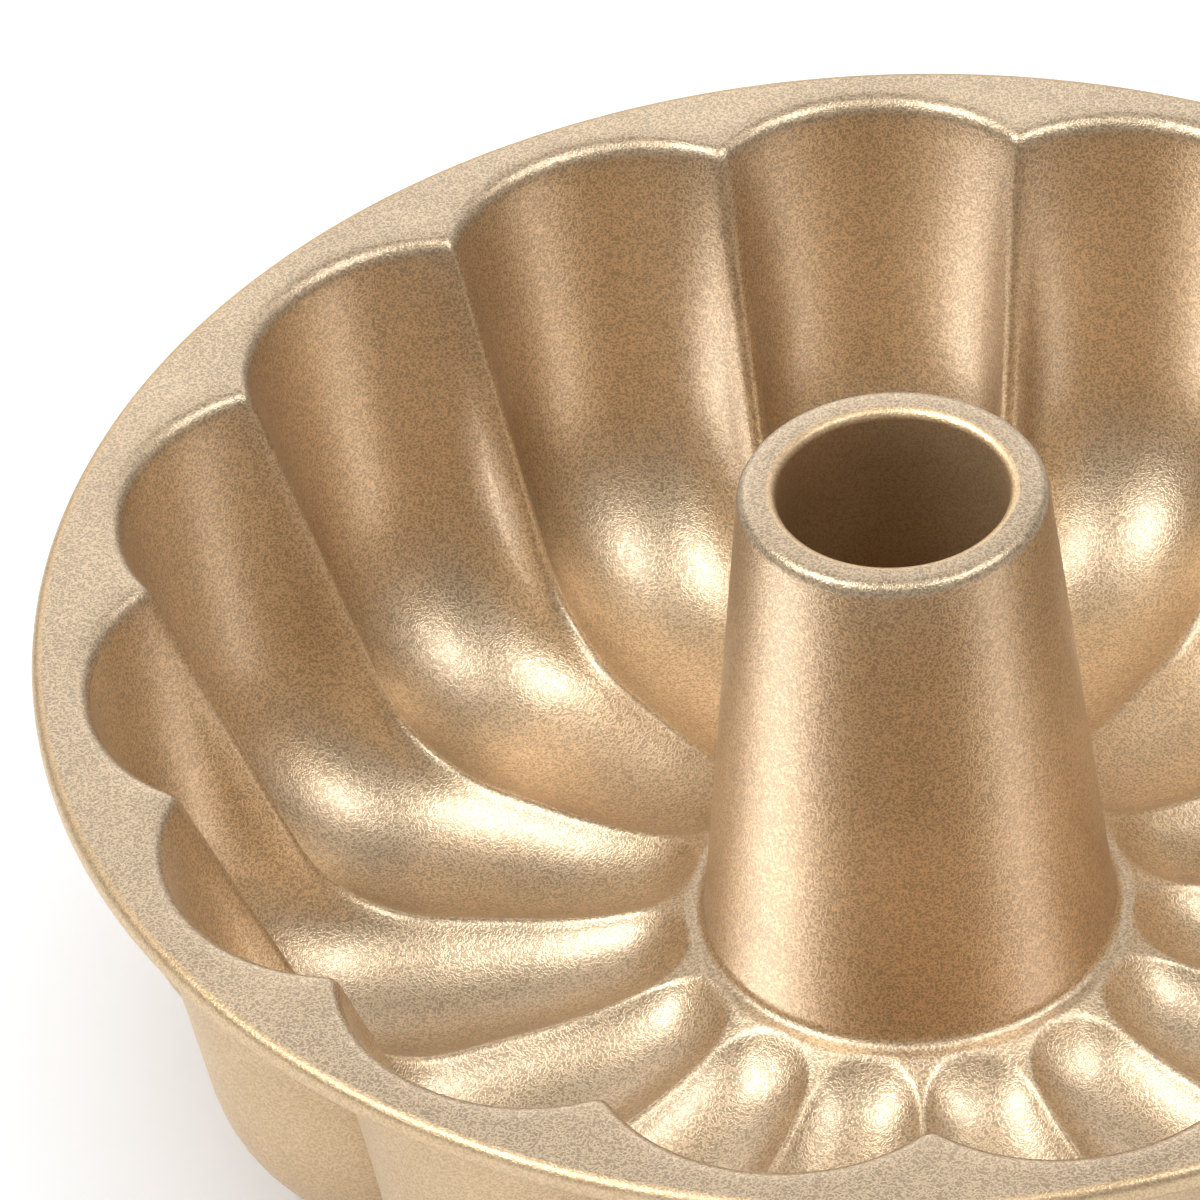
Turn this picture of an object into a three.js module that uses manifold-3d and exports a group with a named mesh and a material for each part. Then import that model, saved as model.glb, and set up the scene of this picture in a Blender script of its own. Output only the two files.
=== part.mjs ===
// Ring cake pan: one fluted aluminium casting with a central tube, coated on both sides.
// Millimetres, +Z up. The origin is on the tube's axis, on the surface that the pan stands on.
// The pan has a flute on +Y and a rib on -Y.
import * as THREE from "three";
import { mergeVertices } from "three/addons/utils/BufferGeometryUtils.js";
import Module from "manifold-3d";

const degrees = THREE.MathUtils.degToRad;
const mix = THREE.MathUtils.lerp;

// Driving dimensions: the rim
const RIM_RADIUS = 127;
const RIM_HEIGHT = 74;
const RIM_THICKNESS = 4.2;
const RIM_EDGE_ROUND = 1.6;
const RIM_WIDTH = 8; // from the rim's edge in to the mouth of a flute

// Driving dimensions: the flutes and the ribs between them
const FLUTE_COUNT = 15;
const FLUTE_DRAFT = degrees(9.5);
const FLUTE_TURN = 35; // radius of the turn from wall to floor along a flute
const FLUTE_END_LENGTH = 10; // of the blunt end beside the ring land
const FLUTE_END_BLUNTNESS = 2.5; // 2 makes the end an ellipse, more squares its corners
const MOUTH_DEPTH = 8.2; // how far a flute reaches behind the ribs at the rim
const MOUTH_ROUND = 3;
const RIB_DRAFT = degrees(20.5);
const RIB_TURN = 22; // radius of the turn from wall to floor along a rib
const RIB_RISE = 5.55; // of the ribs over the flutes where the floor begins
const RIB_CREST = 1.5; // radius of the rib's round crest on the wall

// Driving dimensions: the ring land and the tube
const LAND_RISE = 5.3; // of the ring land over the ribs
const LAND_WIDTH = 0.6;
const LAND_RAMP_LENGTH = 25; // over which a rib climbs to the ring land
const TUBE_ABOVE_RIM = 21.8;
const TUBE_TOP_RADIUS = 22.8;
const TUBE_FOOT_RADIUS = 30.8;
const TUBE_FILLET = 2;
const TUBE_TOP_ROUND = 2;
const TUBE_TOP_WALL = 5.8;
const TUBE_FOOT_WALL = 4.4;
const BORE_TOP_ROUND = 1.4;
const BORE_FOOT_ROUND = 1.5;

// Driving dimensions: the metal and its coats
const CAST_WALL = 3.2;
const COAT = 0.3;
const PAD_DEPTH = 0.35; // of metal flattened off the lobes to make the pads underneath

// Fineness of the mesh
const HALF_FLUTE_COLUMNS = 3;
const CREST_CROWDING = 1.5; // above 1, columns crowd towards the ribs
const WALL_ROWS = 1;
const TURN_ROWS = 3;
const FLOOR_ROWS = 2;
const END_ROWS = 2;
const ROUND_ROWS = 1;

// Sizes that follow from the driving dimensions
const THICKNESS = CAST_WALL + 2 * COAT;
const HALF_FLUTE = Math.PI / FLUTE_COUNT;
const FLUTE_FLOOR = CAST_WALL + COAT - PAD_DEPTH;
const RIB_FLOOR = FLUTE_FLOOR + RIB_RISE;
const LAND_HEIGHT = RIB_FLOOR + LAND_RISE;
const TUBE_HEIGHT = RIM_HEIGHT + TUBE_ABOVE_RIM;
const LAND_START = TUBE_FOOT_RADIUS + TUBE_FILLET;
const FLUTE_END = LAND_START + LAND_WIDTH;
const BORE_TOP = TUBE_TOP_RADIUS - TUBE_TOP_WALL;
const BORE_FOOT = TUBE_FOOT_RADIUS - TUBE_FOOT_WALL;
const UNDERSIDE = LAND_HEIGHT - THICKNESS;
const FLANGE_UNDERSIDE = RIM_HEIGHT - RIM_THICKNESS;
const FLUTE = {
  top: RIM_RADIUS - RIM_WIDTH,
  draft: FLUTE_DRAFT,
  turn: FLUTE_TURN,
  floor: FLUTE_FLOOR,
};
const RIB = {
  top: FLUTE.top - MOUTH_DEPTH,
  draft: RIB_DRAFT,
  turn: RIB_TURN,
  floor: RIB_FLOOR,
};

// Middle of the turn from wall to floor, in the half plane of the axis.
function turnCentre({ top, draft, turn, floor }) {
  const z = floor + turn;
  const r = top - Math.tan(draft) * (RIM_HEIGHT - z) - turn / Math.cos(draft);
  return new THREE.Vector2(r, z);
}

const POLE = turnCentre(RIB);
const END_START = Math.min(FLUTE_END + FLUTE_END_LENGTH, POLE.x);

// Distance along a ray from the cavity to a drafted wall that turns into a level floor.
function reach(origin, direction, profile) {
  const slope = Math.tan(profile.draft);
  const wallGap = profile.top - origin.x - slope * (RIM_HEIGHT - origin.y);
  const toWall = wallGap / (direction.x - slope * direction.y);
  const toFloor = direction.y < 0 ? (profile.floor - origin.y) / direction.y : Infinity;
  const straight = Math.min(toWall, toFloor);
  const centre = turnCentre(profile);
  const hit = origin.clone().addScaledVector(direction, straight).sub(centre);
  const inTurn = hit.x > 0 && Math.atan2(-hit.y, hit.x) > profile.draft;
  if (!inTurn) return straight;
  const offset = origin.clone().sub(centre);
  const along = offset.dot(direction);
  return Math.sqrt(along ** 2 - offset.lengthSq() + profile.turn ** 2) - along;
}

// Height of a rib's crest over the ground on the floor of the pan.
function ribFloorHeight(radius) {
  const rampStart = FLUTE_END + LAND_RAMP_LENGTH;
  const climb = THREE.MathUtils.clamp((rampStart - radius) / LAND_RAMP_LENGTH, 0, 1);
  return RIB_FLOOR + LAND_RISE * climb ** 2;
}

// Radius of a rib's round crest, which narrows with the flutes on the floor.
function crestRadius(halfWidth) {
  return RIB_CREST * Math.min(1, halfWidth / (POLE.x * Math.sin(HALF_FLUTE)));
}

// Radius of a flute's round bottom, which runs smoothly into the round crests beside it.
function bottomRadius(halfWidth, bow) {
  return (halfWidth ** 2 + bow ** 2) / (2 * bow) - crestRadius(halfWidth);
}

// Depth of a flute behind the rib crests: side runs from 0 in its middle to 1 at a crest.
function fluteDepth(side, halfWidth, depth) {
  const bow = Math.min(depth, halfWidth);
  const radius = bottomRadius(halfWidth, bow);
  const across = Math.min(side, 1) * halfWidth;
  const toCrest = halfWidth - across;
  const crestRound = crestRadius(halfWidth);
  const onCrest = across * (radius + crestRound) > halfWidth * radius;
  const bottom = Math.sqrt(Math.max(0, radius ** 2 - across ** 2)) - radius + bow;
  const crest = crestRound - Math.sqrt(Math.max(0, crestRound ** 2 - toCrest ** 2));
  return (depth / bow) * (onCrest ? crest : bottom);
}

// Depth of the outer lobe behind the same crests, one wall thickness further out.
function lobeDepth(side, halfWidth, depth) {
  const radius = bottomRadius(halfWidth, Math.min(depth, halfWidth)) + THICKNESS;
  const across = Math.min(side * halfWidth, radius);
  const lobe = Math.sqrt(radius ** 2 - across ** 2) - radius + THICKNESS + depth;
  return Math.max(THICKNESS, lobe);
}

// Point of the fluted skin on a ray; skin is fluteDepth for the inside, lobeDepth for the outside.
function skinPoint(origin, direction, side, skin) {
  const toRib = reach(origin, direction, RIB);
  const toFlute = reach(origin, direction, FLUTE);
  const halfWidth = (origin.x + direction.x * toRib) * Math.sin(HALF_FLUTE);
  const depth = skin(side, halfWidth, toFlute - toRib);
  return origin.clone().addScaledVector(direction, toRib + depth);
}

function wallPoint(height, side, skin) {
  return skinPoint(new THREE.Vector2(0, height), new THREE.Vector2(1, 0), side, skin);
}

function turnPoint(angle, side, skin) {
  const direction = new THREE.Vector2(Math.cos(angle), -Math.sin(angle));
  return skinPoint(POLE, direction, side, skin);
}

// Point of the floor, where the flutes get shallower as they narrow and close in a blunt end.
function floorPoint(radius, side, skin) {
  const ending = Math.max(0, (END_START - radius) / (END_START - FLUTE_END));
  const ribHeight = ribFloorHeight(radius);
  const halfWidth = radius * Math.sin(HALF_FLUTE);
  const inEnd = (side ** FLUTE_END_BLUNTNESS + ending ** FLUTE_END_BLUNTNESS) ** (1 / FLUTE_END_BLUNTNESS);
  const depth = skin(inEnd, halfWidth, RIB_RISE * (radius / POLE.x));
  return new THREE.Vector2(radius, ribHeight - depth);
}

// Points of a round from one heading to another, both measured from +Z towards the axis.
function round(centreR, centreZ, radius, from, to) {
  const points = [];
  for (let row = 0; row <= ROUND_ROWS; row++) {
    const heading = mix(from, to, row / ROUND_ROWS);
    const r = centreR - radius * Math.sin(heading);
    points.push(new THREE.Vector2(r, centreZ + radius * Math.cos(heading)));
  }
  return points;
}

// Wall, turn and floor of one side of the pan, from a height on the wall in to the ring land.
function flutedRun(height, side, skin) {
  const points = [];
  for (let row = 0; row < WALL_ROWS; row++) {
    points.push(wallPoint(mix(height, POLE.y, row / WALL_ROWS), side, skin));
  }
  for (let row = 0; row < TURN_ROWS; row++) {
    points.push(turnPoint((Math.PI / 2) * (row / TURN_ROWS), side, skin));
  }
  for (let row = 0; row < FLOOR_ROWS; row++) {
    points.push(floorPoint(mix(POLE.x, END_START, row / FLOOR_ROWS), side, skin));
  }
  for (let row = 0; row <= END_ROWS; row++) {
    points.push(floorPoint(mix(END_START, FLUTE_END, row / END_ROWS), side, skin));
  }
  return points;
}

// Food side from the rim's edge over the flutes and the tube to the edge of the bore.
function foodSide(side) {
  const mouthTop = wallPoint(RIM_HEIGHT, side, fluteDepth);
  const mouthFoot = wallPoint(RIM_HEIGHT - MOUTH_ROUND, side, fluteDepth);
  const draft = Math.atan2(mouthTop.x - mouthFoot.x, MOUTH_ROUND);
  const wallStart = RIM_HEIGHT - MOUTH_ROUND * (1 - Math.sin(draft));
  const wall = flutedRun(wallStart, side, fluteDepth);
  const mouthR = wall[0].x + MOUTH_ROUND * Math.cos(draft);
  const mouth = round(mouthR, RIM_HEIGHT - MOUTH_ROUND, MOUTH_ROUND, 0, Math.PI / 2 - draft);
  const filletHeight = LAND_HEIGHT + TUBE_FILLET;
  const fillet = round(LAND_START, filletHeight, TUBE_FILLET, Math.PI, Math.PI / 2);
  const tubeRoundR = TUBE_TOP_RADIUS - TUBE_TOP_ROUND;
  const tubeRound = round(tubeRoundR, TUBE_HEIGHT - TUBE_TOP_ROUND, TUBE_TOP_ROUND, -Math.PI / 2, 0);
  return [
    new THREE.Vector2(RIM_RADIUS - RIM_EDGE_ROUND, RIM_HEIGHT),
    ...mouth,
    ...wall.slice(1),
    ...fillet,
    ...tubeRound,
    new THREE.Vector2(BORE_TOP + BORE_TOP_ROUND, TUBE_HEIGHT),
  ];
}

// Outside between the same two edges: round the rim, down the lobes and up through the bore.
function outside(side) {
  const edgeR = RIM_RADIUS - RIM_EDGE_ROUND;
  const topRound = round(edgeR, RIM_HEIGHT - RIM_EDGE_ROUND, RIM_EDGE_ROUND, 0, -Math.PI / 2);
  const lowerZ = FLANGE_UNDERSIDE + RIM_EDGE_ROUND;
  const lowerRound = round(edgeR, lowerZ, RIM_EDGE_ROUND, -Math.PI / 2, -Math.PI);
  const footR = BORE_FOOT + BORE_FOOT_ROUND;
  const footRound = round(footR, UNDERSIDE + BORE_FOOT_ROUND, BORE_FOOT_ROUND, Math.PI, Math.PI / 2);
  const boreTopR = BORE_TOP + BORE_TOP_ROUND;
  const boreRound = round(boreTopR, TUBE_HEIGHT - BORE_TOP_ROUND, BORE_TOP_ROUND, Math.PI / 2, 0);
  return [
    ...topRound,
    ...lowerRound,
    ...flutedRun(FLANGE_UNDERSIDE, side, lobeDepth),
    ...footRound,
    ...boreRound,
  ];
}

// Grid of points: one row for each point of the section, one column for each heading round the axis.
function sheet(section) {
  const columns = 2 * HALF_FLUTE_COLUMNS * FLUTE_COUNT;
  const grid = [];
  for (let column = 0; column < columns; column++) {
    const flute = Math.floor(column / (2 * HALF_FLUTE_COLUMNS));
    const step = (column % (2 * HALF_FLUTE_COLUMNS)) - HALF_FLUTE_COLUMNS;
    const side = 1 - (1 - Math.abs(step) / HALF_FLUTE_COLUMNS) ** CREST_CROWDING;
    const heading = Math.PI / 2 + (2 * flute + Math.sign(step) * side) * HALF_FLUTE;
    section(side).forEach((point, row) => {
      grid[row] ??= [];
      const x = point.x * Math.cos(heading);
      grid[row][column] = new THREE.Vector3(x, point.x * Math.sin(heading), point.y);
    });
  }
  return grid;
}

// The same grid moved straight into the metal by a depth; its first and last rows lie on level edges.
function sunk(grid, depth, facing) {
  const last = grid.length - 1;
  return grid.map((line, row) =>
    line.map((point, column) => {
      const columns = line.length;
      const normal = new THREE.Vector3(0, 0, 1);
      if (row > 0 && row < last) {
        const along = grid[row + 1][column].clone().sub(grid[row - 1][column]);
        const after = line[(column + 1) % columns];
        const before = line[(column + columns - 1) % columns];
        normal.crossVectors(after.clone().sub(before), along).normalize();
        normal.multiplyScalar(facing);
      }
      return point.clone().addScaledVector(normal, -depth);
    }),
  );
}

// Triangles of one sheet, mirrored about the middle of each flute; first is its first point's number.
function sheetFaces(grid, first, facing) {
  const columns = grid[0].length;
  const faces = [];
  for (let row = 0; row < grid.length - 1; row++) {
    for (let column = 0; column < columns; column++) {
      const next = (column + 1) % columns;
      const here = first + row * columns + column;
      const beside = first + row * columns + next;
      const below = here + columns;
      const across = beside + columns;
      const beforeMiddle = column % (2 * HALF_FLUTE_COLUMNS) < HALF_FLUTE_COLUMNS;
      const quad = beforeMiddle ? [here, beside, across, below] : [beside, across, below, here];
      if (facing < 0) quad.reverse();
      const [a, b, c, d] = facing < 0 ? [quad[3], quad[0], quad[1], quad[2]] : quad;
      faces.push([a, b, c], [a, c, d]);
    }
  }
  return faces;
}

// Triangles of the narrow band that joins a row of points to the row beside it.
function bandFaces(from, to, columns) {
  const faces = [];
  for (let column = 0; column < columns; column++) {
    const next = (column + 1) % columns;
    faces.push([from + column, to + column, to + next], [from + column, to + next, from + next]);
  }
  return faces;
}

// Closed ring between a sheet that faces the food and one that faces away from it.
function ringGeometry(upper, lower) {
  const columns = upper[0].length;
  const lowerFirst = upper.length * columns;
  const upperLast = lowerFirst - columns;
  const lowerLast = lowerFirst + (lower.length - 1) * columns;
  const faces = [...sheetFaces(upper, 0, 1), ...sheetFaces(lower, lowerFirst, -1)];
  if (upper[0][0].distanceTo(lower[0][0]) > 0) {
    faces.push(...bandFaces(0, lowerFirst, columns));
    faces.push(...bandFaces(lowerLast, upperLast, columns));
  }
  const geometry = new THREE.BufferGeometry().setFromPoints([...upper.flat(), ...lower.flat()]);
  geometry.setIndex(faces.flat());
  return geometry;
}

const wasm = await Module();
wasm.setup();

function solidOf(geometry) {
  const bare = geometry.clone();
  bare.deleteAttribute("normal");
  bare.deleteAttribute("uv");
  const merged = mergeVertices(bare);
  const vertProperties = new Float32Array(merged.attributes.position.array);
  const triVerts = new Uint32Array(merged.index.array);
  return new wasm.Manifold(new wasm.Mesh({ numProp: 3, vertProperties, triVerts }));
}

function geometryOf(solid) {
  const mesh = solid.getMesh();
  const geometry = new THREE.BufferGeometry();
  geometry.setAttribute("position", new THREE.BufferAttribute(mesh.vertProperties, 3));
  geometry.setIndex(new THREE.BufferAttribute(mesh.triVerts, 1));
  return geometry;
}

// Solid ring with all that lies below the ground cut off, which leaves a flat pad on each lobe.
function groundFlat(geometry) {
  const stock = 2 * THICKNESS;
  const below = new THREE.BoxGeometry(2 * RIM_RADIUS, 2 * RIM_RADIUS, stock);
  below.translate(0, 0, -stock / 2);
  return solidOf(geometry).subtract(solidOf(below));
}

const pan = new THREE.Group();

function addPiece(name, geometry, finish) {
  geometry.computeVertexNormals();
  const piece = new THREE.Mesh(geometry, new THREE.MeshStandardMaterial(finish));
  piece.name = name;
  pan.add(piece);
}

// The four sheets, from the food side out: each pair of neighbours encloses one piece.
const foodFace = sheet(foodSide);
const outerFace = sheet(outside);
const castInside = sunk(foodFace, COAT, 1);
const castOutside = sunk(outerFace, COAT, -1);

// The casting stands on its pads; the outer coat ends round them.
const casting = groundFlat(ringGeometry(castInside, castOutside));
const outerCoat = groundFlat(ringGeometry(castOutside, outerFace));

addPiece("pan_casting", geometryOf(casting), {
  color: 0xb9b4ac,
  roughness: 0.45,
  metalness: 1,
});
addPiece("nonstick_lining", ringGeometry(foodFace, castInside), {
  color: 0xb08a5a,
  roughness: 0.42,
  metalness: 0.7,
});
addPiece("outer_coating", geometryOf(outerCoat), {
  color: 0xc9a678,
  roughness: 0.38,
  metalness: 0.6,
});

export default pan;
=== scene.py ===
"""Ring cake pan: the looks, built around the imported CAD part.

Sizes are in millimetres until a mesh is made, and in metres after that.
"""

import math

import bmesh
import bpy
import numpy as np
from mathutils import Matrix, Vector


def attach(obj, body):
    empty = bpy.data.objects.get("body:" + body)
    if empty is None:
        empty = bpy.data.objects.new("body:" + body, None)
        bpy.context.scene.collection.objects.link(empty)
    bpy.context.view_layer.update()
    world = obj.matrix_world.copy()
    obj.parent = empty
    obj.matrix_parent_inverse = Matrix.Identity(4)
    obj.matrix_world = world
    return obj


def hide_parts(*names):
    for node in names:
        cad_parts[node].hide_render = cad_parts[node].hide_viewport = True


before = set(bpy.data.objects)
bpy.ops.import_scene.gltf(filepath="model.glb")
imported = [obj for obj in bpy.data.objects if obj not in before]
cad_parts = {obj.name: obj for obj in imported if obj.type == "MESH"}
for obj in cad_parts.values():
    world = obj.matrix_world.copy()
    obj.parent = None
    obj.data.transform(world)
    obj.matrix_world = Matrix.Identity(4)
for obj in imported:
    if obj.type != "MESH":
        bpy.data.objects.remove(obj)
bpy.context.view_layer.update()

# Driving dimensions of the pan, the same as in the CAD source
RIM_RADIUS = 127.0
RIM_HEIGHT = 74.0
RIM_THICKNESS = 4.2
RIM_EDGE_ROUND = 1.6
RIM_WIDTH = 8.0
FLUTE_COUNT = 15
FLUTE_DRAFT = math.radians(9.5)
FLUTE_TURN = 35.0
FLUTE_END_LENGTH = 10.0
FLUTE_END_BLUNTNESS = 2.5
MOUTH_DEPTH = 8.2
MOUTH_ROUND = 3.0
RIB_DRAFT = math.radians(20.5)
RIB_TURN = 22.0
RIB_RISE = 5.55
RIB_CREST = 1.5
LAND_RISE = 5.3
LAND_WIDTH = 0.6
LAND_RAMP_LENGTH = 25.0
TUBE_ABOVE_RIM = 21.8
TUBE_TOP_RADIUS = 22.8
TUBE_FOOT_RADIUS = 30.8
TUBE_FILLET = 2.0
TUBE_TOP_ROUND = 2.0
TUBE_TOP_WALL = 5.8
TUBE_FOOT_WALL = 4.4
BORE_TOP_ROUND = 1.4
BORE_FOOT_ROUND = 1.5
CAST_WALL = 3.2
COAT = 0.3
PAD_DEPTH = 0.35

# Thickness of the outer coat over the pads, which the CAD leaves bare
PAD_FILM = 0.05

# Millimetres in a metre
METRE = 1000

# Fineness of the meshes
HALF_FLUTE_COLUMNS = 12
WALL_ROWS = 14
TURN_ROWS = 18
FLOOR_ROWS = 7
END_ROWS = 12
ROUND_ROWS = 5
TUBE_ROWS = 8
CREST_CROWDING = 1.5
SHARP_ANGLE = math.radians(35)
WELD_DISTANCE = 1e-7

# Range that most of a noise field lies in
NOISE_RANGE = (0.3, 0.7)

# Grain of the coats: sizes in metres, and how far from its middle the noise field still makes a ridge
GRAIN_SIZE = 0.0006
GRAIN_HEIGHT = 0.00002
RIDGE_WIDTH = 0.12

# Shares of the way from the deep colour to the pale one that the ridges and the large clouds make
RIDGE_SHARE = 0.8
CLOUD_SHARE = 0.2
CLOUD_SCALE = 45.0

# Finish of the coats: metal flake under a clear film
LINING_DEEP = (0.41, 0.283, 0.143, 1)
LINING_PALE = (0.88, 0.655, 0.395, 1)
OUTER_DEEP = (0.54, 0.375, 0.20, 1)
OUTER_PALE = (0.76, 0.56, 0.35, 1)
FLAKE_ROUGHNESS = 0.45
FILM_ROUGHNESS = 0.37
FILM_IOR = 2.1

# Finish of the bare casting
CAST_DEEP = (0.50, 0.49, 0.47, 1)
CAST_PALE = (0.62, 0.61, 0.58, 1)
CAST_ROUGHNESS = (0.38, 0.52)
SAND_SCALE = 1500.0
SAND_HEIGHT = 0.0001
SHADE_SCALE = 60.0

# The floor and its glow, which starts outside the pan, in metres from the axis: painted light, where the
# floor itself glows to brighten the backdrop and lift the pan's soft shadow
FLOOR_HALF = 6
FLOOR_COLOUR = (0.92, 0.92, 0.92, 1)
FLOOR_ROUGHNESS = 0.9
GLOW_EDGE = (0.10, 0.16)
# Bluish, so that the painted light cancels the warm tint in the floor's shadow
GLOW_COLOUR = (0.78, 0.91, 1, 1)
GLOW_STRENGTH = 0.39

# Even light from all sides
WORLD_COLOUR = (0.95, 0.95, 0.98, 1)
WORLD_STRENGTH = 0.33

# The camera, found from the rim, the hole and the rib tops
CAMERA_PLACE = (-0.0145, -1.0469, 0.9782)
CAMERA_ELEVATION = math.radians(40.71)
CAMERA_TURN = math.radians(1.58)
CAMERA_ROLL = math.radians(3.89)
CAMERA_LENS = 283.8
SENSOR_WIDTH = 36.0

# Sizes that follow from the driving dimensions
THICKNESS = CAST_WALL + 2 * COAT
HALF_FLUTE = math.pi / FLUTE_COUNT
FLUTE_FLOOR = CAST_WALL + COAT - PAD_DEPTH
RIB_FLOOR = FLUTE_FLOOR + RIB_RISE
LAND_HEIGHT = RIB_FLOOR + LAND_RISE
TUBE_HEIGHT = RIM_HEIGHT + TUBE_ABOVE_RIM
LAND_START = TUBE_FOOT_RADIUS + TUBE_FILLET
FLUTE_END = LAND_START + LAND_WIDTH
BORE_TOP = TUBE_TOP_RADIUS - TUBE_TOP_WALL
BORE_FOOT = TUBE_FOOT_RADIUS - TUBE_FOOT_WALL
UNDERSIDE = LAND_HEIGHT - THICKNESS
FLANGE_UNDERSIDE = RIM_HEIGHT - RIM_THICKNESS
FLUTE = (RIM_RADIUS - RIM_WIDTH, FLUTE_DRAFT, FLUTE_TURN, FLUTE_FLOOR)
RIB = (RIM_RADIUS - RIM_WIDTH - MOUTH_DEPTH, RIB_DRAFT, RIB_TURN, RIB_FLOOR)


def turn_centre(profile):
    """Middle of the turn from wall to floor, in the half plane of the axis."""
    top, draft, turn, floor = profile
    z = floor + turn
    r = top - math.tan(draft) * (RIM_HEIGHT - z) - turn / math.cos(draft)
    return np.array((r, z))


POLE = turn_centre(RIB)
END_START = min(FLUTE_END + FLUTE_END_LENGTH, POLE[0])


def reach(origin, direction, profile):
    """Distance along a ray from the cavity to a drafted wall that turns into a level floor."""
    top, draft, turn, floor = profile
    slope = math.tan(draft)
    wall_gap = top - origin[0] - slope * (RIM_HEIGHT - origin[1])
    straight = wall_gap / (direction[0] - slope * direction[1])
    if direction[1] < 0:
        straight = min(straight, (floor - origin[1]) / direction[1])
    offset = origin - turn_centre(profile)
    hit = offset + straight * direction
    if hit[0] <= 0 or math.atan2(-hit[1], hit[0]) <= draft:
        return straight
    along = offset @ direction
    return math.sqrt(along ** 2 - offset @ offset + turn ** 2) - along


def rib_floor_height(radius):
    """Height of a rib's crest over the ground on the floor of the pan."""
    climb = (FLUTE_END + LAND_RAMP_LENGTH - radius) / LAND_RAMP_LENGTH
    return RIB_FLOOR + LAND_RISE * min(max(climb, 0), 1) ** 2


def crest_radius(half_width):
    """Radius of a rib's round crest, which narrows with the flutes on the floor."""
    return RIB_CREST * min(1, half_width / (POLE[0] * math.sin(HALF_FLUTE)))


def bottom_radius(half_width, bow):
    """Radius of a flute's round bottom, which runs smoothly into the round crests beside it."""
    return (half_width ** 2 + bow ** 2) / (2 * bow) - crest_radius(half_width)


def flute_depth(side, half_width, depth):
    """Depth of a flute behind the rib crests: side runs from 0 in its middle to 1 at a crest."""
    bow = min(depth, half_width)
    radius = bottom_radius(half_width, bow)
    across = min(side, 1) * half_width
    crest = crest_radius(half_width)
    if across * (radius + crest) > half_width * radius:
        bowed = crest - math.sqrt(max(0, crest ** 2 - (half_width - across) ** 2))
    else:
        bowed = math.sqrt(radius ** 2 - across ** 2) - radius + bow
    return depth / bow * bowed


def lobe_depth(side, half_width, depth):
    """Depth of the outer lobe behind the same crests, one wall thickness further out."""
    radius = bottom_radius(half_width, min(depth, half_width)) + THICKNESS
    across = min(side * half_width, radius)
    lobe = math.sqrt(radius ** 2 - across ** 2) - radius + THICKNESS + depth
    return max(THICKNESS, lobe)


def skin_point(origin, direction, side, skin):
    """Point of the fluted skin on a ray; skin is flute_depth inside and lobe_depth outside."""
    to_rib = reach(origin, direction, RIB)
    to_flute = reach(origin, direction, FLUTE)
    half_width = (origin[0] + direction[0] * to_rib) * math.sin(HALF_FLUTE)
    return origin + direction * (to_rib + skin(side, half_width, to_flute - to_rib))


def wall_point(height, side, skin):
    return skin_point(np.array((0.0, height)), np.array((1.0, 0.0)), side, skin)


def turn_point(angle, side, skin):
    return skin_point(POLE, np.array((math.cos(angle), -math.sin(angle))), side, skin)


def floor_point(radius, side, skin):
    """Point of the floor, where the flutes get shallower as they narrow and close in a blunt end."""
    ending = max(0, (END_START - radius) / (END_START - FLUTE_END))
    rib_height = rib_floor_height(radius)
    half_width = radius * math.sin(HALF_FLUTE)
    in_end = (side ** FLUTE_END_BLUNTNESS + ending ** FLUTE_END_BLUNTNESS) ** (1 / FLUTE_END_BLUNTNESS)
    depth = skin(in_end, half_width, RIB_RISE * (radius / POLE[0]))
    return np.array((radius, rib_height - depth))


def steps(start, stop, count):
    """Even steps from start up to stop, without stop itself."""
    return np.linspace(start, stop, count, endpoint=False)


def rounded(centre_r, centre_z, radius, start, stop):
    """Points of a round from one heading to another, both measured from +Z towards the axis."""
    headings = np.linspace(start, stop, ROUND_ROWS + 1)
    return [np.array((centre_r - radius * math.sin(h), centre_z + radius * math.cos(h))) for h in headings]


def between(start, stop, count):
    """Points that divide the line from start to stop, without its two ends."""
    return [start + (stop - start) * t for t in np.linspace(0, 1, count + 1)[1:-1]]


def fluted_run(height, side, skin):
    """Wall, turn and floor of one side of the pan, from a height on the wall in to the ring land."""
    wall = [wall_point(z, side, skin) for z in steps(height, POLE[1], WALL_ROWS)]
    turn = [turn_point(a, side, skin) for a in steps(0, math.pi / 2, TURN_ROWS)]
    floor = [floor_point(r, side, skin) for r in steps(POLE[0], END_START, FLOOR_ROWS)]
    end = [floor_point(r, side, skin) for r in np.linspace(END_START, FLUTE_END, END_ROWS + 1)]
    return wall + turn + floor + end


def food_side(side):
    """Food side from the rim's edge over the flutes and the tube to the edge of the bore."""
    mouth_top = wall_point(RIM_HEIGHT, side, flute_depth)
    mouth_foot = wall_point(RIM_HEIGHT - MOUTH_ROUND, side, flute_depth)
    draft = math.atan2(mouth_top[0] - mouth_foot[0], MOUTH_ROUND)
    wall = fluted_run(RIM_HEIGHT - MOUTH_ROUND * (1 - math.sin(draft)), side, flute_depth)
    mouth_r = wall[0][0] + MOUTH_ROUND * math.cos(draft)
    mouth = rounded(mouth_r, RIM_HEIGHT - MOUTH_ROUND, MOUTH_ROUND, 0, math.pi / 2 - draft)
    fillet = rounded(LAND_START, LAND_HEIGHT + TUBE_FILLET, TUBE_FILLET, math.pi, math.pi / 2)
    tube_round_r = TUBE_TOP_RADIUS - TUBE_TOP_ROUND
    tube_round = rounded(tube_round_r, TUBE_HEIGHT - TUBE_TOP_ROUND, TUBE_TOP_ROUND, -math.pi / 2, 0)
    rim_edge = np.array((RIM_RADIUS - RIM_EDGE_ROUND, RIM_HEIGHT))
    bore_edge = np.array((BORE_TOP + BORE_TOP_ROUND, TUBE_HEIGHT))
    rim_top = [rim_edge] + between(rim_edge, mouth[0], 3)
    tube = fillet + between(fillet[-1], tube_round[0], TUBE_ROWS) + tube_round
    tube_top = between(tube[-1], bore_edge, 2) + [bore_edge]
    return rim_top + mouth + wall[1:] + tube + tube_top


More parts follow.
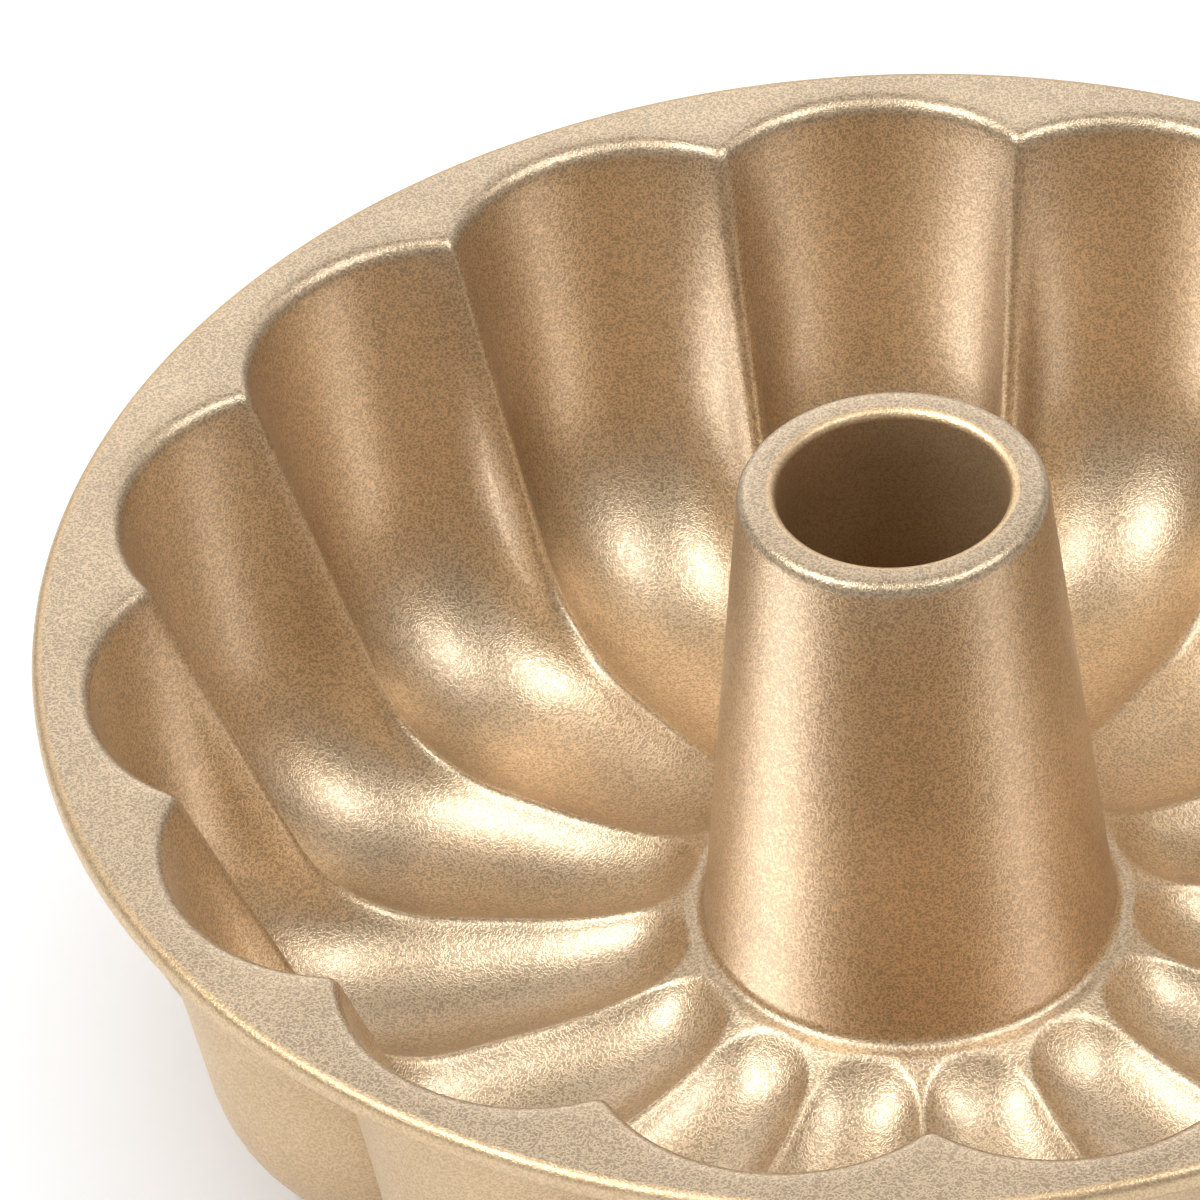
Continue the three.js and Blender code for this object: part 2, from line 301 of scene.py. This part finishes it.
def outside(side):
    """Outside between the same two edges: round the rim, down the lobes and up through the bore."""
    edge_r = RIM_RADIUS - RIM_EDGE_ROUND
    lower_z = FLANGE_UNDERSIDE + RIM_EDGE_ROUND
    rim = rounded(edge_r, RIM_HEIGHT - RIM_EDGE_ROUND, RIM_EDGE_ROUND, 0, -math.pi / 2)
    rim += rounded(edge_r, lower_z, RIM_EDGE_ROUND, -math.pi / 2, -math.pi)
    lobes = fluted_run(FLANGE_UNDERSIDE, side, lobe_depth)
    foot_r = BORE_FOOT + BORE_FOOT_ROUND
    foot = rounded(foot_r, UNDERSIDE + BORE_FOOT_ROUND, BORE_FOOT_ROUND, math.pi, math.pi / 2)
    top_r = BORE_TOP + BORE_TOP_ROUND
    top = rounded(top_r, TUBE_HEIGHT - BORE_TOP_ROUND, BORE_TOP_ROUND, math.pi / 2, 0)
    return rim + lobes + between(lobes[-1], foot[0], 3) + foot + between(foot[-1], top[0], TUBE_ROWS) + top


def sheet(section):
    """Grid of points: rows follow the section, columns go round the axis and crowd at the ribs."""
    shares = 1 - (1 - np.linspace(0, 1, HALF_FLUTE_COLUMNS + 1)) ** CREST_CROWDING
    sections = [np.array(section(side)) for side in shares]
    grid = []
    for flute in range(FLUTE_COUNT):
        middle = math.pi / 2 + 2 * HALF_FLUTE * flute
        for step in range(-HALF_FLUTE_COLUMNS, HALF_FLUTE_COLUMNS):
            heading = middle + math.copysign(shares[abs(step)], step) * HALF_FLUTE
            r, z = sections[abs(step)].T
            grid.append(np.stack((r * math.cos(heading), r * math.sin(heading), z), axis=1))
    return np.array(grid).transpose(1, 0, 2)


def sunk(grid, depth, facing):
    """The same grid moved straight into the metal; its first and last rows lie on level edges."""
    along = np.gradient(grid, axis=0)
    across = np.roll(grid, -1, axis=1) - np.roll(grid, 1, axis=1)
    normal = np.cross(across, along) * facing
    normal /= np.linalg.norm(normal, axis=2, keepdims=True)
    normal[[0, -1]] = (0, 0, 1)
    return grid - depth * normal


def sheet_mesh(grid, facing, ground):
    """Sheet as a mesh, turned to face up for 1 or down for -1, and ground flat below a height."""
    mesh = bmesh.new()
    rows, columns = grid.shape[:2]
    points = [[mesh.verts.new(Vector(point) / METRE) for point in line] for line in grid]
    for row in range(rows - 1):
        for column in range(columns):
            beside = (column + 1) % columns
            here, below = points[row], points[row + 1]
            corners = (here[column], here[beside], below[beside], below[column])
            mesh.faces.new(corners[::facing]).smooth = True
    if ground is not None:
        everything = mesh.verts[:] + mesh.edges[:] + mesh.faces[:]
        cut = bmesh.ops.bisect_plane(mesh, geom=everything, plane_co=(0, 0, ground / METRE),
                                     plane_no=(0, 0, -1), clear_outer=True)
        edges = [part for part in cut["geom_cut"] if isinstance(part, bmesh.types.BMEdge)]
        bmesh.ops.edgeloop_fill(mesh, edges=edges)
    return mesh


def ring_piece(name, upper, lower, upper_ground, lower_ground, slot, material):
    """Closed ring between a sheet that faces the food and one that faces away from it."""
    mesh = sheet_mesh(upper, 1, upper_ground)
    data = bpy.data.meshes.new(name)
    other = sheet_mesh(lower, -1, lower_ground)
    other.to_mesh(data)
    other.free()
    mesh.from_mesh(data)
    if not np.allclose(upper[0], lower[0]):
        columns = upper.shape[1]
        for line, against in ((upper[0], lower[0]), (upper[-1], lower[-1])):
            ring = [[mesh.verts.new(Vector(point) / METRE) for point in edge] for edge in (line, against)]
            for column in range(columns):
                beside = (column + 1) % columns
                mesh.faces.new((ring[0][column], ring[1][column], ring[1][beside], ring[0][beside]))
    bmesh.ops.remove_doubles(mesh, verts=mesh.verts, dist=WELD_DISTANCE)
    bmesh.ops.recalc_face_normals(mesh, faces=mesh.faces)
    mesh.to_mesh(data)
    mesh.free()
    data.set_sharp_from_angle(angle=SHARP_ANGLE)
    data.materials.append(material)
    piece = bpy.data.objects.new(name, data)
    bpy.context.scene.collection.objects.link(piece)
    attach(piece, "root")
    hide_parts(slot_nodes[slot])
    return piece


class Nodes:
    """Short way to add and join shader nodes of one material."""

    def __init__(self, name):
        self.material = bpy.data.materials.new(name)
        self.material.use_nodes = True
        self.tree = self.material.node_tree
        self.shader = self.tree.nodes["Principled BSDF"]

    def add(self, kind, inputs=None, **settings):
        node = self.tree.nodes.new(kind)
        for key, value in settings.items():
            setattr(node, key, value)
        for key, value in (inputs or {}).items():
            self.feed(value, node.inputs[key])
        return node

    def feed(self, value, socket):
        if isinstance(value, bpy.types.NodeSocket):
            self.tree.links.new(value, socket)
        else:
            socket.default_value = value

    def math(self, operation, first, second):
        return self.add("ShaderNodeMath", {0: first, 1: second}, operation=operation).outputs[0]

    def noise(self, place, scale, detail):
        made = self.add("ShaderNodeTexNoise", {"Vector": place, "Scale": scale, "Detail": detail})
        return made.outputs[0]

    def span(self, value, given, wanted):
        """Maps the given range of a value to the wanted one."""
        made = self.add("ShaderNodeMapRange", {"Value": value, "From Min": given[0], "From Max": given[1],
                                               "To Min": wanted[0], "To Max": wanted[1]})
        return made.outputs[0]

    def blend(self, share, first, second):
        made = self.add("ShaderNodeMix", {"Factor": share}, data_type="RGBA")
        self.feed(first, made.inputs[6])
        self.feed(second, made.inputs[7])
        return made.outputs[2]


def coat_material(name, deep, pale, metal, film):
    """Champagne gold coat: metal flake in a clear film, over a surface with fine wormy ridges."""
    nodes = Nodes(name)
    place = nodes.add("ShaderNodeTexCoord").outputs["Object"]
    wrinkle = nodes.noise(place, 1 / GRAIN_SIZE, 1.0)
    from_ridge = nodes.math("ABSOLUTE", nodes.math("SUBTRACT", wrinkle, 0.5), 0.0)
    ridge = nodes.span(from_ridge, (0.0, RIDGE_WIDTH), (1.0, 0.0))
    bump = nodes.add("ShaderNodeBump", {"Strength": 1.0, "Distance": GRAIN_HEIGHT, "Height": ridge})
    cloud = nodes.span(nodes.noise(place, CLOUD_SCALE, 3.0), NOISE_RANGE, (0.0, CLOUD_SHARE))
    share = nodes.math("ADD", nodes.math("MULTIPLY", ridge, RIDGE_SHARE), cloud)
    nodes.feed(nodes.blend(share, deep, pale), nodes.shader.inputs["Base Color"])
    nodes.feed(bump.outputs[0], nodes.shader.inputs["Normal"])
    nodes.feed(bump.outputs[0], nodes.shader.inputs["Coat Normal"])
    nodes.shader.inputs["Metallic"].default_value = metal
    nodes.shader.inputs["Roughness"].default_value = FLAKE_ROUGHNESS
    nodes.shader.inputs["Coat Weight"].default_value = film
    nodes.shader.inputs["Coat IOR"].default_value = FILM_IOR
    nodes.shader.inputs["Coat Roughness"].default_value = FILM_ROUGHNESS
    return nodes.material


def cast_material():
    """Bare aluminium as it comes from the mould: grey, with a faint sandy grain."""
    nodes = Nodes("cast_aluminium")
    place = nodes.add("ShaderNodeTexCoord").outputs["Object"]
    grain = nodes.noise(place, SAND_SCALE, 3.0)
    shade = nodes.span(nodes.noise(place, SHADE_SCALE, 2.0), NOISE_RANGE, (0.0, 1.0))
    bump = nodes.add("ShaderNodeBump", {"Strength": 0.4, "Distance": SAND_HEIGHT, "Height": grain})
    grey = nodes.blend(shade, CAST_DEEP, CAST_PALE)
    nodes.feed(grey, nodes.shader.inputs["Base Color"])
    nodes.feed(nodes.span(grain, NOISE_RANGE, CAST_ROUGHNESS), nodes.shader.inputs["Roughness"])
    nodes.feed(bump.outputs[0], nodes.shader.inputs["Normal"])
    nodes.shader.inputs["Metallic"].default_value = 1.0
    return nodes.material


slot_nodes = {"cast_metal": "pan_casting", "lining": "nonstick_lining", "outer_coat": "outer_coating"}

# The four sheets, from the food side out: each pair of neighbours encloses one piece
food_face = sheet(food_side)
outer_face = sheet(outside)
cast_inside = sunk(food_face, COAT, 1)
cast_outside = sunk(outer_face, COAT, -1)

lining_coat = coat_material("champagne_lining", LINING_DEEP, LINING_PALE, metal=1.0, film=1.0)
outer_coat = coat_material("champagne_outside", OUTER_DEEP, OUTER_PALE, metal=0.85, film=0.15)
ring_piece("casting", cast_inside, cast_outside, None, PAD_FILM, "cast_metal", cast_material())
lining = ring_piece("lining", food_face, cast_inside, None, None, "lining", lining_coat)
outer = ring_piece("outer_coat", cast_outside, outer_face, PAD_FILM, 0.0, "outer_coat", outer_coat)

# Floor, which also makes the pale background, helped by its own glow of painted light
floor_data = bpy.data.meshes.new("floor")
floor_corners = [(x * FLOOR_HALF, y * FLOOR_HALF, 0) for x, y in ((-1, -1), (1, -1), (1, 1), (-1, 1))]
floor_data.from_pydata(floor_corners, [], [(0, 1, 2, 3)])
floor_nodes = Nodes("glowing_pale_floor")
floor_nodes.shader.inputs["Base Color"].default_value = FLOOR_COLOUR
floor_nodes.shader.inputs["Roughness"].default_value = FLOOR_ROUGHNESS
floor_nodes.shader.inputs["Emission Color"].default_value = GLOW_COLOUR
floor_place = floor_nodes.add("ShaderNodeTexCoord").outputs["Object"]
# Painted light: the floor glows more with distance from the axis, with none under and right next to the
# pan
from_axis = floor_nodes.add("ShaderNodeVectorMath", {0: floor_place}, operation="LENGTH").outputs["Value"]
glow = floor_nodes.span(from_axis, GLOW_EDGE, (0.0, GLOW_STRENGTH))
floor_nodes.feed(glow, floor_nodes.shader.inputs["Emission Strength"])
floor_data.materials.append(floor_nodes.material)
floor = bpy.data.objects.new("floor", floor_data)
bpy.context.scene.collection.objects.link(floor)


def softbox(name, azimuth, elevation, distance, width, height, power, aim=(0, 0, 0)):
    """Soft lamp that faces its aim; azimuth 0 is on the camera's side and 90 on the right."""
    lamp = bpy.data.lights.new(name, "AREA")
    lamp.shape = "RECTANGLE"
    lamp.size = width
    lamp.size_y = height
    lamp.energy = power
    holder = bpy.data.objects.new(name, lamp)
    across, up = math.radians(azimuth), math.radians(elevation)
    towards = Vector((math.sin(across) * math.cos(up), -math.cos(across) * math.cos(up), math.sin(up)))
    turn = towards.to_track_quat("Z", "Y").to_matrix().to_4x4()
    holder.matrix_world = Matrix.Translation(Vector(aim) + towards * distance) @ turn
    holder.visible_camera = False
    bpy.context.scene.collection.objects.link(holder)
    return holder


def lamp_for(piece, holder, through):
    """Lets a lamp shine on one piece alone, and through the floor and the pan if asked."""
    only = bpy.data.collections.new(holder.name + "_receiver")
    only.objects.link(piece)
    holder.light_linking.receiver_collection = only
    holder.data.use_shadow = not through
    holder.data.cycles.use_multiple_importance_sampling = not through


# Key lamps for the pairs of spots in the turns, and back lamps for the rim and the floor
softbox("left_key", azimuth=-75, elevation=61, distance=1.3, width=0.26, height=0.26, power=7.3)
softbox("right_key", azimuth=72, elevation=62, distance=1.3, width=0.24, height=0.24, power=5.1)
softbox("back_left", azimuth=-160, elevation=30, distance=1.6, width=1.0, height=0.6, power=3.8)
softbox("back_right", azimuth=160, elevation=30, distance=1.6, width=1.0, height=0.6, power=3.1)

# Low lamps that shine through the pan, for the bright bands on the tube and the flutes
low_left = softbox("low_left", azimuth=-82, elevation=-32, distance=1.4, width=0.9, height=0.7, power=5.4)
low_right = softbox("low_right", azimuth=66, elevation=-30, distance=1.4, width=0.3, height=0.7, power=1.6)
lamp_for(lining, low_left, through=True)
lamp_for(lining, low_right, through=True)

# A long lamp for the near edge of the rim, and a small one over the mouth of the bore
edge_lamp = softbox("edge", azimuth=-52, elevation=50, distance=1.4, width=1.2, height=0.3, power=7.0)
bore_lamp = softbox("bore", azimuth=-110, elevation=52, distance=0.10, width=0.03, height=0.03, power=0.07,
                    aim=(0, 0, TUBE_HEIGHT / METRE))
lamp_for(outer, edge_lamp, through=False)
lamp_for(outer, bore_lamp, through=False)

world = bpy.data.worlds.new("studio")
world.use_nodes = True
world.node_tree.nodes["Background"].inputs["Color"].default_value = WORLD_COLOUR
world.node_tree.nodes["Background"].inputs["Strength"].default_value = WORLD_STRENGTH
bpy.context.scene.world = world
bpy.context.scene.view_settings.view_transform = "Standard"

# The camera
camera_data = bpy.data.cameras.new("camera")
camera_data.sensor_width = SENSOR_WIDTH
camera_data.lens = CAMERA_LENS
camera_data.clip_start = 0.05
camera = bpy.data.objects.new("camera", camera_data)
heading = Matrix.Rotation(CAMERA_TURN, 4, "Z")
pitch = Matrix.Rotation(math.pi / 2 - CAMERA_ELEVATION, 4, "X")
roll = Matrix.Rotation(-CAMERA_ROLL, 4, "Z")
camera.matrix_world = Matrix.Translation(CAMERA_PLACE) @ heading @ pitch @ roll
bpy.context.scene.collection.objects.link(camera)
bpy.context.scene.camera = camera
